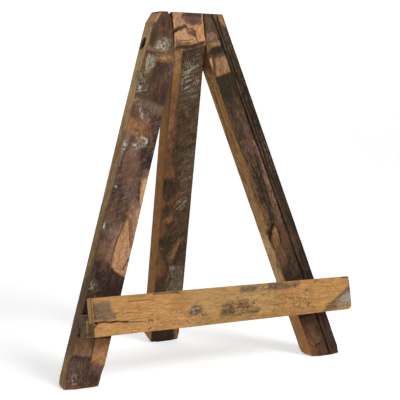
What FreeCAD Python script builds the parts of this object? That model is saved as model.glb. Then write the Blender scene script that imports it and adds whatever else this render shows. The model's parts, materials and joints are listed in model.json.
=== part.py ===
"""A three-legged display easel of reclaimed battens: two splayed front legs, a rear leg that
swings between their heads on a through bolt, and a ledge of a square strip with a taller lip.

Everything is first made upright: X is across, Y is the depth behind the front face of the
front legs, and Z is up along that face. The rear leg is made folded and then swung open, and
the whole easel is then leaned back and set on the ground."""

import FreeCAD, Part
import math
import os
from FreeCAD import Vector

# ---- the whole easel: millimetres and degrees
HEIGHT = 430.0
FRONT_LEAN = 11.3
REAR_OPENING = 22.9

# ---- front legs
LEG_WIDTH = 40.7
LEG_THICKNESS = 21.9
LEFT_FOOT_EDGE = -194.5
RIGHT_FOOT_EDGE = 174.7
LEFT_SPLAY = 18.9
RIGHT_SPLAY = 16.0
WORN_CORNER_WIDTH = 6.0
WORN_CORNER_HEIGHT = 10.0

# ---- rear leg, which is as wide as the space between the friction washers allows
REAR_WIDTH = 41.4
REAR_THICKNESS = 22.8
FOLDED_GAP = 0.5

# ---- pivot hardware: an M6 hexagon bolt, its nut and washers
PIVOT_HEIGHT = 400.7
PIVOT_DEPTH = 13.1
BOLT_RADIUS = 3.0
BOLT_LENGTH = 100.0
BOLT_TIP_CHAMFER = 0.8
HEAD_ACROSS_FLATS = 10.0
HEAD_HEIGHT = 4.0
NUT_HEIGHT = 5.2
RUNNING_CLEARANCE = 0.05
PLAIN_WASHER_RADIUS = 6.0
PLAIN_WASHER_THICKNESS = 1.6
FRICTION_WASHER_RADIUS = 8.0
FRICTION_WASHER_THICKNESS = 1.6
FRICTION_WASHER_CLEARANCE = 0.1
COUNTERBORE_RADIUS = 7.5
LEFT_COUNTERBORE_FLOOR = -43.5
RIGHT_COUNTERBORE_FLOOR = 44.5

# ---- ledge
LEDGE_BOTTOM = 56.8
SHELF_DEPTH = 25.0
SHELF_HEIGHT = 24.6
LIP_THICKNESS = 16.2
LIP_LEFT_HEIGHT = 42.8
LIP_RIGHT_HEIGHT = 40.8
SHELF_LEFT_END = -171.0
LIP_LEFT_END = -168.0
LEDGE_RIGHT_END = 171.0

# ---- countersunk wood screws that hold the shelf from behind, two through each front leg
SCREW_RADIUS = 2.0
SCREW_LENGTH = 40.0
SCREW_TIP_LENGTH = 5.0
SCREW_TIP_RADIUS = 0.3
SCREW_HEAD_RADIUS = 4.0
SCREW_HEAD_HEIGHT = 2.3
SCREW_SINK = 0.6
SCREW_SPREAD = 18.0

# ---- nails that hold the lip on the shelf
NAIL_COUNT = 4
NAIL_SPACING = 70.0
FIRST_NAIL = -101.0
NAIL_RADIUS = 1.1
NAIL_LENGTH = 35.0
NAIL_TIP_LENGTH = 3.0
NAIL_TIP_RADIUS = 0.15
NAIL_HEAD_RADIUS = 1.5
NAIL_HEAD_HEIGHT = 1.0
NAIL_SINK = 0.3

# ---- clearances and the length left on before a piece is cut to size
HOLE_CLEARANCE = 0.05
SPARE = 40.0

LEFT, RIGHT = -1.0, 1.0
ACROSS = Vector(1, 0, 0)
BEHIND = Vector(0, 1, 0)
UP = Vector(0, 0, 1)

LEAN_SINE = math.sin(math.radians(FRONT_LEAN))
LEAN_COSINE = math.cos(math.radians(FRONT_LEAN))
FACE_HEIGHT = HEIGHT / LEAN_COSINE
WASHER_SPACE = FRICTION_WASHER_THICKNESS + FRICTION_WASHER_CLEARANCE
HALF_SEAM = REAR_WIDTH / 2 + WASHER_SPACE
NAIL_LEVEL = LEDGE_BOTTOM + SHELF_HEIGHT / 2
PIVOT = Vector(0, PIVOT_DEPTH, PIVOT_HEIGHT)


def block(low, high):
    """An upright box between two corners."""
    size = high - low
    return Part.makeBox(size.x, size.y, size.z, low)


def board(outline, thickness):
    """A board whose outline is drawn on the front face, given its thickness towards the back."""
    points = [Vector(x, 0, z) for x, z in outline]
    face = Part.Face(Part.makePolygon(points + points[:1]))
    return face.extrude(BEHIND * thickness)


def rod(radius, start, direction, length):
    return Part.makeCylinder(radius, length, start, direction)


def along_pivot(radius, left, right):
    """A cylinder on the pivot line between two places across the easel."""
    return rod(radius, Vector(left, PIVOT_DEPTH, PIVOT_HEIGHT), ACROSS, right - left)


def lean_back(shape):
    shape.rotate(Vector(0, 0, 0), ACROSS, -FRONT_LEAN)
    return shape


def cut_to_height(shape):
    """What lies between the ground and the level cut along the top."""
    box = shape.BoundBox
    low = Vector(box.XMin - SPARE, box.YMin - SPARE, 0)
    high = Vector(box.XMax + SPARE, box.YMax + SPARE, HEIGHT)
    return shape.common(block(low, high))


def outer_edge(side, height):
    """Where a front leg's outer edge is at this height up the front face."""
    if side == LEFT:
        return LEFT_FOOT_EDGE + height * math.tan(math.radians(LEFT_SPLAY))
    return RIGHT_FOOT_EDGE - height * math.tan(math.radians(RIGHT_SPLAY))


def leg_slope_width(side):
    """A front leg's width measured level, which its splay makes more than the batten's."""
    splay = LEFT_SPLAY if side == LEFT else RIGHT_SPLAY
    return LEG_WIDTH / math.cos(math.radians(splay))


def inner_edge(side, height):
    return outer_edge(side, height) - side * leg_slope_width(side)


def seam_start(side):
    """The height where a front leg's inner edge meets the upright cut beside the rear leg."""
    splay = LEFT_SPLAY if side == LEFT else RIGHT_SPLAY
    return (side * inner_edge(side, 0) - HALF_SEAM) / math.tan(math.radians(splay))


def leg_centre(side, height):
    return (outer_edge(side, height) + inner_edge(side, height)) / 2


def leg_outline(side):
    bottom, top = -SPARE, FACE_HEIGHT + SPARE
    outline = [
        (outer_edge(side, bottom), bottom),
        (inner_edge(side, bottom), bottom),
        (side * HALF_SEAM, seam_start(side)),
        (side * HALF_SEAM, top),
    ]
    if side == RIGHT:
        return outline + [(outer_edge(side, top), top)]
    worn_from = FACE_HEIGHT - WORN_CORNER_HEIGHT
    worn_to = outer_edge(side, worn_from) + WORN_CORNER_WIDTH
    worn_corner = [(worn_to, FACE_HEIGHT), (outer_edge(side, worn_from), worn_from)]
    return outline + [(worn_to, top)] + worn_corner


def screw_places(side):
    """The two screws through one front leg, at the middle of the shelf's height."""
    centre = leg_centre(side, NAIL_LEVEL)
    return [centre - SCREW_SPREAD / 2, centre + SCREW_SPREAD / 2]


def nail_places():
    return [FIRST_NAIL + NAIL_SPACING * i for i in range(NAIL_COUNT)]


def wood_screw(x, clearance=0.0):
    """A countersunk screw driven forwards from the back of a front leg."""
    top = Vector(x, LEG_THICKNESS - SCREW_SINK, NAIL_LEVEL)
    forwards = BEHIND * -1
    head_radius = SCREW_HEAD_RADIUS + clearance
    shank_radius = SCREW_RADIUS + clearance
    head = Part.makeCone(head_radius, shank_radius, SCREW_HEAD_HEIGHT, top, forwards)
    shank_start = top + forwards * SCREW_HEAD_HEIGHT
    shank_length = SCREW_LENGTH - SCREW_HEAD_HEIGHT - SCREW_TIP_LENGTH
    shank = rod(shank_radius, shank_start, forwards, shank_length)
    tip_start = shank_start + forwards * shank_length
    tip_radius = SCREW_TIP_RADIUS + clearance
    tip_length = SCREW_TIP_LENGTH + clearance
    tip = Part.makeCone(shank_radius, tip_radius, tip_length, tip_start, forwards)
    return head.fuse([shank, tip]).removeSplitter()


def screw_hole(x):
    """The screw's own hole, open to the back of the leg above its sunk head."""
    mouth = Vector(x, LEG_THICKNESS - SCREW_SINK, NAIL_LEVEL)
    opening = rod(SCREW_HEAD_RADIUS + HOLE_CLEARANCE, mouth, BEHIND, SCREW_SINK + SPARE)
    return wood_screw(x, HOLE_CLEARANCE).fuse(opening)


def lip_nail(x, clearance=0.0):
    """A flat-headed nail driven backwards through the lip."""
    top = Vector(x, -SHELF_DEPTH - LIP_THICKNESS + NAIL_SINK, NAIL_LEVEL)
    head = rod(NAIL_HEAD_RADIUS + clearance, top, BEHIND, NAIL_HEAD_HEIGHT)
    shank_length = NAIL_LENGTH - NAIL_TIP_LENGTH
    shank = rod(NAIL_RADIUS + clearance, top, BEHIND, shank_length)
    tip_start = top + BEHIND * shank_length
    tip_radius = NAIL_TIP_RADIUS + clearance
    tip_length = NAIL_TIP_LENGTH + clearance
    tip = Part.makeCone(NAIL_RADIUS + clearance, tip_radius, tip_length, tip_start, BEHIND)
    return head.fuse([shank, tip]).removeSplitter()


def nail_hole(x):
    """The nail's own hole, open to the front of the lip before its sunk head."""
    mouth = Vector(x, -SHELF_DEPTH - LIP_THICKNESS + NAIL_SINK, NAIL_LEVEL)
    opening = rod(NAIL_HEAD_RADIUS + HOLE_CLEARANCE, mouth, BEHIND * -1, NAIL_SINK + SPARE)
    return lip_nail(x, HOLE_CLEARANCE).fuse(opening)


def front_leg(side):
    """One splayed front leg with its bolt hole, counterbore and screw holes."""
    floor = LEFT_COUNTERBORE_FLOOR if side == LEFT else RIGHT_COUNTERBORE_FLOOR
    outside = floor + side * SPARE
    bolt_hole = along_pivot(BOLT_RADIUS + RUNNING_CLEARANCE, -abs(floor) - SPARE, abs(floor) + SPARE)
    counterbore = along_pivot(COUNTERBORE_RADIUS, min(floor, outside), max(floor, outside))
    holes = [bolt_hole, counterbore] + [screw_hole(x) for x in screw_places(side)]
    return cut_to_height(lean_back(board(leg_outline(side), LEG_THICKNESS).cut(holes)))


def rear_face_length():
    """From the pivot down the rear leg to its foot, so that the open foot's front edge is on the ground."""
    swing = math.radians(REAR_OPENING - FRONT_LEAN)
    pivot_above_ground = PIVOT_HEIGHT * LEAN_COSINE - PIVOT_DEPTH * LEAN_SINE
    face_drop = (PIVOT_DEPTH - FOLDED_GAP) * math.sin(swing)
    return (pivot_above_ground - face_drop) / math.cos(swing)


def rear_leg():
    """The rear leg: level foot when folded, and its head sawn flush with the front when open."""
    front, back = FOLDED_GAP, FOLDED_GAP + REAR_THICKNESS
    foot = PIVOT_HEIGHT - rear_face_length()
    foot_rise = REAR_THICKNESS * LEAN_SINE / LEAN_COSINE
    top = FACE_HEIGHT + SPARE
    side_outline = [(front, foot), (back, foot + foot_rise), (back, top), (front, top)]
    points = [Vector(-REAR_WIDTH / 2, y, z) for y, z in side_outline]
    plank = Part.Face(Part.makePolygon(points + points[:1])).extrude(ACROSS * REAR_WIDTH)
    hole_radius = BOLT_RADIUS + RUNNING_CLEARANCE
    plank = plank.cut(along_pivot(hole_radius, -REAR_WIDTH, REAR_WIDTH))
    plank.rotate(PIVOT, ACROSS, REAR_OPENING)
    low = Vector(-REAR_WIDTH, 0, -SPARE)
    high = Vector(REAR_WIDTH, HEIGHT, top + SPARE)
    return cut_to_height(lean_back(plank.common(block(low, high))))


def ledge_shelf():
    low = Vector(SHELF_LEFT_END, -SHELF_DEPTH, LEDGE_BOTTOM)
    high = Vector(LEDGE_RIGHT_END, 0, LEDGE_BOTTOM + SHELF_HEIGHT)
    holes = [wood_screw(x, HOLE_CLEARANCE) for side in (LEFT, RIGHT) for x in screw_places(side)]
    holes += [lip_nail(x, HOLE_CLEARANCE) for x in nail_places()]
    return lean_back(block(low, high).cut(holes))


def ledge_lip():
    """The board on the shelf's front, a little lower at its right end."""
    outline = [
        (LIP_LEFT_END, LEDGE_BOTTOM),
        (LEDGE_RIGHT_END, LEDGE_BOTTOM),
        (LEDGE_RIGHT_END, LEDGE_BOTTOM + LIP_RIGHT_HEIGHT),
        (LIP_LEFT_END, LEDGE_BOTTOM + LIP_LEFT_HEIGHT),
    ]
    lip = board(outline, LIP_THICKNESS)
    lip.translate(BEHIND * (-SHELF_DEPTH - LIP_THICKNESS))
    holes = [nail_hole(x) for x in nail_places()]
    return lean_back(lip.cut(holes))


def hexagon(left, right):
    """A hexagonal bar on the pivot line, as both the bolt's head and the nut are."""
    corner = HEAD_ACROSS_FLATS / math.sqrt(3)
    points = []
    for i in range(6):
        angle = math.radians(60 * i)
        spoke = Vector(0, math.sin(angle), math.cos(angle)) * corner
        points.append(Vector(left, 0, 0) + PIVOT + spoke)
    return Part.Face(Part.makePolygon(points + points[:1])).extrude(ACROSS * (right - left))


def pivot_bolt():
    seat = LEFT_COUNTERBORE_FLOOR - PLAIN_WASHER_THICKNESS
    head = hexagon(seat - HEAD_HEIGHT, seat)
    tip = seat + BOLT_LENGTH
    shank = along_pivot(BOLT_RADIUS, seat, tip - BOLT_TIP_CHAMFER)
    tip_start = Vector(tip - BOLT_TIP_CHAMFER, PIVOT_DEPTH, PIVOT_HEIGHT)
    tip_radius = BOLT_RADIUS - BOLT_TIP_CHAMFER
    chamfer = Part.makeCone(BOLT_RADIUS, tip_radius, BOLT_TIP_CHAMFER, tip_start, ACROSS)
    return lean_back(head.fuse([shank, chamfer]).removeSplitter())


def pivot_nut():
    seat = RIGHT_COUNTERBORE_FLOOR + PLAIN_WASHER_THICKNESS
    hole = along_pivot(BOLT_RADIUS + HOLE_CLEARANCE, seat - SPARE, seat + SPARE)
    return lean_back(hexagon(seat, seat + NUT_HEIGHT).cut(hole))


def washer(radius, left, right):
    hole = along_pivot(BOLT_RADIUS + HOLE_CLEARANCE, left - SPARE, right + SPARE)
    return lean_back(along_pivot(radius, left, right).cut(hole))


def washers():
    """The plain washers in the counterbores, and the friction washers either side of the rear leg."""
    head_seat = LEFT_COUNTERBORE_FLOOR
    nut_seat = RIGHT_COUNTERBORE_FLOOR
    inside = HALF_SEAM - FRICTION_WASHER_THICKNESS
    plain, thickness = PLAIN_WASHER_RADIUS, PLAIN_WASHER_THICKNESS
    return {
        "bolt_head_washer": washer(plain, head_seat - thickness, head_seat),
        "nut_washer": washer(plain, nut_seat, nut_seat + thickness),
        "left_friction_washer": washer(FRICTION_WASHER_RADIUS, -HALF_SEAM, -inside),
        "right_friction_washer": washer(FRICTION_WASHER_RADIUS, inside, HALF_SEAM),
    }


def easel():
    """Every piece by its node's name, leaning as it stands, before it is set about the origin."""
    pieces = {
        "left_leg": front_leg(LEFT),
        "right_leg": front_leg(RIGHT),
        "rear_leg": rear_leg(),
        "ledge_shelf": ledge_shelf(),
        "ledge_lip": ledge_lip(),
        "pivot_bolt": pivot_bolt(),
        "pivot_nut": pivot_nut(),
    }
    pieces.update(washers())
    for side, name in ((LEFT, "left"), (RIGHT, "right")):
        for place, x in zip(("a", "b"), screw_places(side)):
            pieces[f"ledge_screw_{name}_{place}"] = lean_back(wood_screw(x))
    for number, x in enumerate(nail_places(), start=1):
        pieces[f"lip_nail_{number}"] = lean_back(lip_nail(x))
    return pieces


def origin_shift(pieces):
    """Moves the middle of the easel's footprint box to the origin. The feet are on Z 0 already."""
    box = Part.makeCompound(list(pieces.values())).optimalBoundingBox(False)
    return Vector(-(box.XMin + box.XMax) / 2, -(box.YMin + box.YMax) / 2, -box.ZMin)


def main():
    os.makedirs("parts", exist_ok=True)
    pieces = easel()
    shift = origin_shift(pieces)
    for name, shape in pieces.items():
        shape.translate(shift)
        shape.exportStep(f"parts/{name}.step")
    leaning_pivot = FreeCAD.Rotation(ACROSS, -FRONT_LEAN).multVec(PIVOT) + shift
    print("pivot at", leaning_pivot, "after a shift of", shift)


main()
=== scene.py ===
"""Looks of the reclaimed-wood tabletop easel.

Each board is a fine mesh made from its CAD node, worn, cracked and painted by functions of its
own directions: across it, the depth behind its front face, and along its grain. Places are in
millimetres, and an outline or a line is written as "across along, across along". On a side face
the depth takes the place of across. The colours that lie on a board are kept in a colour
attribute, and its material adds fibres, pores, grit, gloss and fine relief."""

import json
import math

import bmesh
import bpy
import numpy as np
from mathutils import Matrix, Vector


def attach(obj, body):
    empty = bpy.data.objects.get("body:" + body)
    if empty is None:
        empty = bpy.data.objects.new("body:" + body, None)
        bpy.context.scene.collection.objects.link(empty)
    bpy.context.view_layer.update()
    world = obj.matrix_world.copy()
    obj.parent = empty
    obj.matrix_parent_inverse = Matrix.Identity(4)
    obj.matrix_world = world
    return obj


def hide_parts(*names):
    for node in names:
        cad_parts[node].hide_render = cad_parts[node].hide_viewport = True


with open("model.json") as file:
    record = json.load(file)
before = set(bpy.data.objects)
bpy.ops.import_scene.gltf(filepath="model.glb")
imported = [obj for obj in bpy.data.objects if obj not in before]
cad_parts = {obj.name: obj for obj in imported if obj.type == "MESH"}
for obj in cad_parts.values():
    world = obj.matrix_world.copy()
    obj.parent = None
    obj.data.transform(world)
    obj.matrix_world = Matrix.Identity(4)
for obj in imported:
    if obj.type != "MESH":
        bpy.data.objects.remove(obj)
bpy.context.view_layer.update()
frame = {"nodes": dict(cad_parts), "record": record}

MM = 0.001

# ---- how finely the boards are meshed: a cell is this wide, and longer along the grain
CELL = 0.5
GRAIN_SQUEEZE = 0.4

# ---- a batten's half width and its thickness, roughly
HALF_WIDTH = 20
THICKNESS = 22

# ---- the smallest flat that counts as an outer face, in square millimetres
OUTER_FLAT = 60

# ---- how far any place may stand proud of an outer face, in millimetres
FLUSH = 0.02

# ---- palette, as the colours show in soft light, 0 to 255
PALETTE = {
    "black": (28, 20, 13),
    "soot": (42, 32, 20),
    "wine": (53, 37, 32),
    "dark": (55, 41, 27),
    "moss": (68, 54, 37),
    "umber": (74, 54, 36),
    "maroon": (75, 48, 41),
    "plum": (93, 67, 59),
    "mauve": (102, 82, 73),
    "brown": (98, 71, 50),
    "rust": (104, 66, 42),
    "ochre": (116, 84, 48),
    "rose": (120, 90, 74),
    "orange_tan": (140, 98, 63),
    "tan": (174, 131, 93),
    "pink_tan": (142, 109, 84),
    "honey": (176, 129, 78),
    "straw": (164, 125, 72),
    "gold": (132, 91, 40),
    "amber": (148, 103, 61),
    "sand": (166, 131, 84),
    "olive": (175, 145, 98),
    "cream": (205, 168, 112),
    "drab": (105, 81, 55),
    "slate": (84, 70, 56),
    "grey": (110, 95, 78),
    "pale": (150, 139, 122),
    "chalk": (184, 176, 162),
}


def linear(name):
    """A palette colour in linear light."""
    c = np.array(PALETTE[name]) / 255
    return np.where(c <= 0.04045, c / 12.92, ((c + 0.055) / 1.055) ** 2.4)


# ---------------------------------------------------------------- noise and masks

def lattice(i, j, k, seed):
    """A fixed random number from 0 to 1 at each whole-number place."""
    h = (i * 374761393 + j * 668265263 + k * 1440662683 + seed * 1274126177) & 0xFFFFFFFF
    h = ((h ^ (h >> 13)) * 1274126177) & 0xFFFFFFFF
    h = ((h ^ (h >> 15)) * 2246822519) & 0xFFFFFFFF
    return (h ^ (h >> 16)) / 0xFFFFFFFF


def noise(at, seed):
    """Smooth noise from 0 to 1, with cells one unit wide."""
    cell = np.floor(at).astype(np.int64)
    part = at - cell
    part = part * part * (3 - 2 * part)
    total = np.zeros(len(at))
    for corner in range(8):
        step = [(corner >> axis) & 1 for axis in range(3)]
        share = np.ones(len(at))
        for axis in range(3):
            share *= part[:, axis] if step[axis] else 1 - part[:, axis]
        total += share * lattice(*(cell[:, axis] + step[axis] for axis in range(3)), seed)
    return total


def fractal(at, seed, octaves=4, gain=0.5):
    """Noise with finer and fainter noise laid over it."""
    total, size, reach = 0.0, 1.0, 0.0
    for octave in range(octaves):
        total = total + size * noise(at * 2.03**octave, seed + 17 * octave)
        reach += size
        size *= gain
    return total / reach


def ramp(value, low, high):
    """0 below low, 1 above high, smooth between. low may be above high, which turns it round."""
    t = np.clip((value - low) / (high - low), 0, 1)
    return t * t * (3 - 2 * t)


def places(path):
    """The places of an outline or a line, from "across along, across along" or a list of pairs."""
    if isinstance(path, str):
        return [tuple(float(part) for part in place.split()) for place in path.split(",")]
    return path


def away_from_line(x, y, points):
    """The distance to a line through these points, and how far along it that is, 0 to 1."""
    best = np.full(len(x), 1e9)
    along = np.zeros(len(x))
    spans = [math.dist(p, q) for p, q in zip(points, points[1:])]
    passed = 0.0
    for (x0, y0), (x1, y1), span in zip(points, points[1:], spans):
        t = np.clip(((x - x0) * (x1 - x0) + (y - y0) * (y1 - y0)) / span**2, 0, 1)
        away = np.hypot(x - x0 - t * (x1 - x0), y - y0 - t * (y1 - y0))
        nearer = away < best
        best[nearer] = away[nearer]
        along[nearer] = (passed + t[nearer] * span) / sum(spans)
        passed += span
    return best, along


def within(x, y, outline):
    """The distance inside an outline, negative outside it."""
    edge, _ = away_from_line(x, y, outline + outline[:1])
    inside = np.zeros(len(x), bool)
    for (x0, y0), (x1, y1) in zip(outline, outline[1:] + outline[:1]):
        if y0 != y1:
            crosses = (y0 > y) != (y1 > y)
            inside ^= crosses & (x < x0 + (y - y0) * (x1 - x0) / (y1 - y0))
    return np.where(inside, edge, -edge)


# ---------------------------------------------------------------- boards

def board_directions(mesh):
    """Across, behind and along a board: from its broad front face and its largest side face."""
    groups = {}
    for polygon in mesh.polygons:
        key = tuple(round(c, 2) for c in polygon.normal)
        area, total = groups.get(key, (0.0, Vector()))
        groups[key] = (area + polygon.area, total + polygon.normal * polygon.area)
    faces = [total.normalized() for _, total in sorted(groups.values(), key=lambda f: -f[0])]
    # a front face looks mostly towards -Y, and a side face stands square to it
    front = next(n for n in faces if n.y < -0.7)
    side = next(n for n in faces if abs(n.dot(front)) < 0.05)
    up_or_right = Vector((1, 0, 1))
    along = front.cross(side).normalized()
    along *= math.copysign(1, along.dot(up_or_right))
    across = side * math.copysign(1, side.dot(up_or_right))
    return across, -front, along


class Board:
    """A fine copy of a CAD board. a, d and l are across, depth and length, in millimetres."""

    def __init__(self, node, seed, ground=True):
        self.node, self.seed = node, seed
        cad = bpy.data.meshes.new_from_object(frame["nodes"][node])
        across, behind, along = board_directions(cad)
        self.turn = np.array([across, behind, along])
        corners = np.array([v.co for v in cad.vertices]) / MM @ self.turn.T
        low, high = corners.min(axis=0), corners.max(axis=0)
        start = np.array([(low[0] + high[0]) / 2, low[1], low[2]])
        if ground:
            middle = self.turn.T @ np.array([start[0], start[1], 0.0])
            start[2] = -middle[2] / self.turn[2, 2]
        else:
            start[0] = low[0]
        self.start = start
        self.flats = self.outer_flats(cad)
        self.mesh = self.remeshed(cad)
        self.p = self.read(self.mesh)
        self.faces_read()
        self.colour = np.zeros((len(self.p), 3))
        self.relief = np.zeros(len(self.p))

    def outer_flats(self, cad):
        """The flat outer faces as outward normals and distances, leaving out holes."""
        points = (np.array([v.co for v in cad.vertices]) / MM) @ self.turn.T - self.start
        found = {}
        for polygon in cad.polygons:
            normal = self.turn @ np.array(polygon.normal)
            distance = points[polygon.vertices[0]] @ normal
            if (points @ normal).max() - distance < FLUSH:
                key = tuple(np.round(normal, 2)) + (round(distance),)
                area, _, _ = found.get(key, (0.0, None, None))
                found[key] = (area + polygon.area / MM**2, normal, distance)
        kept = [(n, c) for area, n, c in found.values() if area > OUTER_FLAT]
        return np.array([n for n, _ in kept]), np.array([c for _, c in kept])

    def remeshed(self, cad):
        """An even, fine mesh whose cells are longer along the grain."""
        squeeze = np.diag([1, 1, GRAIN_SQUEEZE])
        turn = Matrix((squeeze @ self.turn / MM).tolist()).to_4x4()
        cad.transform(Matrix.Translation(-Vector(squeeze @ self.start)) @ turn)
        if turn.determinant() < 0:
            cad.flip_normals()
        work = bmesh.new()
        work.from_mesh(cad)
        bmesh.ops.remove_doubles(work, verts=work.verts, dist=1e-3)
        work.to_mesh(cad)
        work.free()
        holder = bpy.data.objects.new(self.node + "_work", cad)
        bpy.context.scene.collection.objects.link(holder)
        remesh = holder.modifiers.new("fine", "REMESH")
        remesh.mode = "VOXEL"
        remesh.voxel_size = CELL
        remesh.use_smooth_shade = True
        graph = bpy.context.evaluated_depsgraph_get()
        fine = bpy.data.meshes.new_from_object(holder.evaluated_get(graph), depsgraph=graph)
        bpy.data.objects.remove(holder)
        bpy.data.meshes.remove(cad)
        fine.transform(Matrix.Diagonal((1, 1, 1 / GRAIN_SQUEEZE, 1)))
        return fine

    def read(self, mesh):
        """The places of a mesh's vertices."""
        flat = np.empty(len(mesh.vertices) * 3)
        mesh.vertices.foreach_get("co", flat)
        return flat.reshape(-1, 3)

    def write(self, points):
        """Moves the mesh's vertices to these places."""
        self.mesh.vertices.foreach_set("co", points.astype(np.float32).ravel())
        self.mesh.update()

    def faces_read(self):
        """How much each vertex faces the front, back, low side, high side and ends."""
        flat = np.empty(len(self.mesh.vertices) * 3)
        self.mesh.vertex_normals.foreach_get("vector", flat)
        self.normal = flat.reshape(-1, 3)
        a, d, l = self.normal.T
        self.toward = {
            "front": ramp(-d, 0.5, 0.85),
            "back": ramp(d, 0.5, 0.85),
            "low": ramp(-a, 0.5, 0.85),
            "high": ramp(a, 0.5, 0.85),
            "ends": ramp(abs(l), 0.6, 0.9),
        }

    @property
    def a(self):
        return self.p[:, 0]

    @property
    def d(self):
        return self.p[:, 1]

    @property
    def l(self):
        return self.p[:, 2]

    def grain(self, width, length):
        """Places in cells this wide across the grain and this long along it."""
        return self.p / np.array([width, width, length])

    def face_places(self, face):
        """The two directions that places on a face are given in."""
        return (self.d if face in ("low", "high") else self.a), self.l

    def wear_edges(self, least, most, corners=()):
        """Rounds every outer edge by a radius that changes along it and grows at some corners."""
        normals, offsets = self.flats
        uneven = fractal(self.grain(14, 22), self.seed + 3, 3)
        radius = least + (most - least) * ramp(uneven, 0.3, 0.75)
        for across, along, reach, extra in corners:
            away = np.hypot(self.a - across, self.l - along)
            radius = radius + extra * ramp(away, reach, reach / 3)
        depth = self.p @ normals.T - offsets
        near = np.maximum(0, depth + radius[:, None])
        size = np.linalg.norm(near, axis=1)
        over = size > radius
        pull = np.where(over, 1 - radius / np.maximum(size, 1e-9), 0)
        self.p = self.p - (near * pull[:, None]) @ normals
        self.edge = ramp(size - radius, -0.3, 0.5)

    def chip(self, place, size, depth):
        """Takes a shallow bite out of the board round a place in its own directions."""
        away = (self.p - np.array(place)) / np.array(size)
        rough = 0.5 * (fractal(self.grain(2.0, 4), self.seed + 91, 4, 0.6) - 0.5)
        inside = np.maximum(0, 1 - (away**2).sum(axis=1) + rough)
        self.p = self.p - self.normal * (depth * np.minimum(1, inside * 1.6))[:, None]
        return np.minimum(1, inside * 1.6)

    def flare(self, low):
        """Widens the board towards its back on its low side, by this much at the back."""
        share = np.clip(-self.a / HALF_WIDTH, 0, 1) * np.clip(self.d / THICKNESS, 0, 1)
        self.p[:, 0] -= low * share

    def swell_head(self, start, much):
        """Widens the front few millimetres of the board above a level."""
        share = ramp(self.l, start - 8, start) * ramp(self.d, 4.4, 2.4)
        self.p[:, 0] += np.sign(self.a) * much * share * np.clip(abs(self.a) / HALF_WIDTH, 0, 1)

    def plane_off(self, place, outward, rough=0.4):
        """Takes off all that is outside a plane through a place, and returns where the cut shows."""
        outward = np.array(outward) / np.linalg.norm(outward)
        uneven = rough * 2 * (fractal(self.grain(3, 7), self.seed + 93, 4, 0.6) - 0.5)
        over = np.maximum(0, (self.p - np.array(place)) @ outward + uneven)
        self.p = self.p - over[:, None] * outward
        return ramp(over, 0.0, 0.3)

    def paint(self, name, mask):
        """Lays a palette colour over the board, as strongly as a mask from 0 to 1 says."""
        mask = np.clip(mask, 0, 1)[:, None]
        self.colour = self.colour * (1 - mask) + linear(name) * mask

    def close_to(self, face, points, across, along):
        """The vertices on a face that are no further than this from the box round some places."""
        x, y = self.face_places(face)
        xs, ys = zip(*points)
        beside = (x > min(xs) - across) & (x < max(xs) + across)
        return beside & (y > min(ys) - along) & (y < max(ys) + along) & (self.toward[face] > 0)

    def patch(self, name, outline, soft=2, wobble=1.5, strength=1, face="front"):
        """Paints a patch inside an outline on one face, this soft and uneven at its edge."""
        outline = places(outline)
        x, y = self.face_places(face)
        margin = 3 * (soft + wobble) + 4
        near = self.close_to(face, outline, margin, margin * 2)
        if not near.any():
            return
        sway, lift = (fractal(self.grain(4, 6)[near], self.seed + s, 4, 0.6) - 0.5 for s in (31, 47))
        brush = fractal(self.grain(1.2, 1.8)[near], self.seed + 53, 4, 0.65) - 0.5
        inside = within(x[near] + 2.2 * wobble * sway, y[near] + 3 * wobble * lift, outline)
        mask = np.zeros(len(x))
        mask[near] = strength * ramp(inside + 2.2 * soft * brush, -soft, soft) * self.toward[face][near]
        self.paint(name, mask)

    def scuffs(self, name, outline, amount=0.5, fine=1, face="front", soft=3, slant=0, stretch=2.2):
        """Broken, worn marks of another layer inside an outline, along lines that may slant."""
        x, y = self.face_places(face)
        inside = ramp(within(x, y, places(outline)), -soft, soft) * self.toward[face]
        over = x * math.cos(slant) + y * math.sin(slant)
        up = y * math.cos(slant) - x * math.sin(slant)
        marks = np.stack([over, self.d * 0.3, up / stretch], axis=1) / (1.1 * fine)
        broken = fractal(marks, self.seed + 57, 5, 0.62)
        mask = inside * ramp(broken, 0.62 - 0.24 * amount, 0.78 - 0.24 * amount)
        self.paint(name, mask)
        self.relief += 0.05 * mask

    def line(self, points, width, depth, colour, wobble, taper=True):
        """A crack, groove or grain line on the front, or a ridge where its depth is negative."""
        points = places(points)
        reach = width * 4 + wobble * 3 + 2
        near = self.close_to("front", points, reach, reach)
        if not near.any():
            return
        x, y = self.a[near], self.l[near]
        (first_x, first_y), (last_x, last_y) = points[0], points[-1]
        seed = self.seed + int(7 * abs(first_x) + 3 * first_y)
        sway = 2 * wobble * (fractal(np.stack([0 * y, 0 * y, y / 9], axis=1), seed, 4, 0.6) - 0.5)
        if abs(last_y - first_y) < abs(last_x - first_x):
            y = y + sway
        else:
            x = x + sway
        away, along = away_from_line(x, y, points)
        ends = np.minimum(ramp(along, 0.0, 0.12), ramp(along, 1.0, 0.88)) if taper else 1.0
        uneven = 0.55 + 0.9 * fractal(self.grain(3, 8)[near], self.seed + 5, 3)
        wide = width * uneven * (0.35 + 0.65 * ends)
        shape = np.exp(-((away / wide) ** 2)) * ends * self.toward["front"][near]
        self.relief[near] -= depth * shape * uneven
        mask = np.zeros(len(self.p))
        mask[near] = np.minimum(1, shape * 1.25)
        self.paint(colour, mask)

    def unevenness(self, wave, ridges, ridge_width=1.1):
        """Slow waves in the surface, and the ridges that weathering leaves between soft grain."""
        slow = fractal(self.grain(22, 60), self.seed + 11, 3) - 0.5
        fine = fractal(self.grain(ridge_width, 34), self.seed + 13, 4, 0.6) - 0.5
        self.relief += wave * 2 * slow + ridges * 2 * fine * (1 - self.toward["ends"])

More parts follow.
